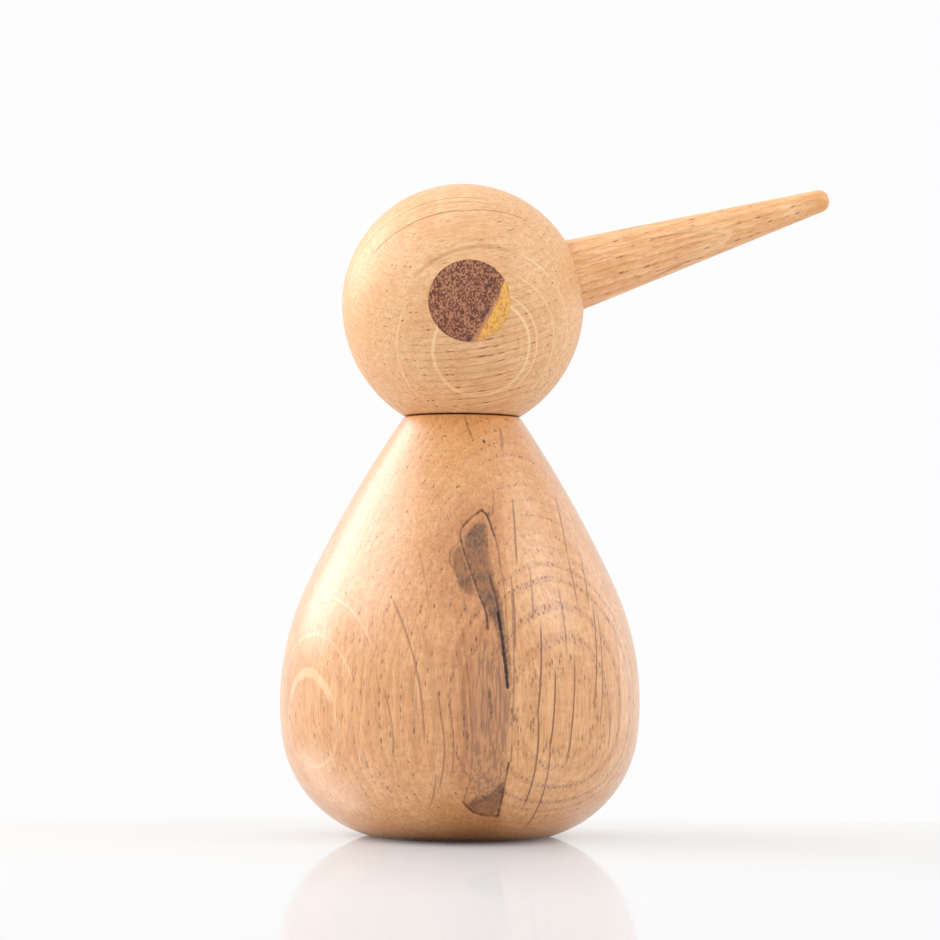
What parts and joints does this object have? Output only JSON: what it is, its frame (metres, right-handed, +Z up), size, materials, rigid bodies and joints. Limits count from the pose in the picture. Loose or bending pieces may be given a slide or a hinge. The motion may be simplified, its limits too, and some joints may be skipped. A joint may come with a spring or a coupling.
{
  "type": "wooden bird figurine",
  "caption": "Turned oak bird with an egg-shaped body, a ball head that swivels on magnets and lifts off, a long tapered beak, and round dark plugs for eyes.",
  "frame": {"origin": "centre of the flat foot, on the surface that the bird stands on", "axes": "+Z up, along the turning axis of the body; +X the way the beak points at rest; the bird's right side faces -Y"},
  "size_m": [0.1013, 0.066, 0.12],
  "materials": {
    "body_oak": "oiled oak, satin, upright grain",
    "head_oak": "oiled oak, satin, grain along the beak",
    "beak_oak": "oiled oak, satin, grain along the beak",
    "eye_wood": "dark end grain, matt, with a strip of yellow sapwood",
    "magnet_nickel": "nickel plating, polished",
    "screw_steel": "zinc-plated steel, satin",
    "washer_leather": "dark brown leather, matt"
  },
  "bodies": {
    "body": {"body": "body_oak", "body_magnet": "magnet_nickel", "body_magnet_screw": "screw_steel"},
    "washer": {"neck_washer": "washer_leather"},
    "head": {"head": "head_oak", "beak": "beak_oak", "right_eye_plug": "eye_wood", "left_eye_plug": "eye_wood", "head_magnet": "magnet_nickel", "head_magnet_screw": "screw_steel"}
  },
  "joints": [
    {"name": "head_swivel", "type": "hinge", "parent": "body", "child": "washer", "pos_m": [0, 0, 0.07675], "axis": [0, 0, 1], "continuous": true},
    {"name": "head_lift", "type": "slide", "parent": "washer", "child": "head", "axis": [0, 0, 1], "range_m": [0, 0.03]}
  ]
}
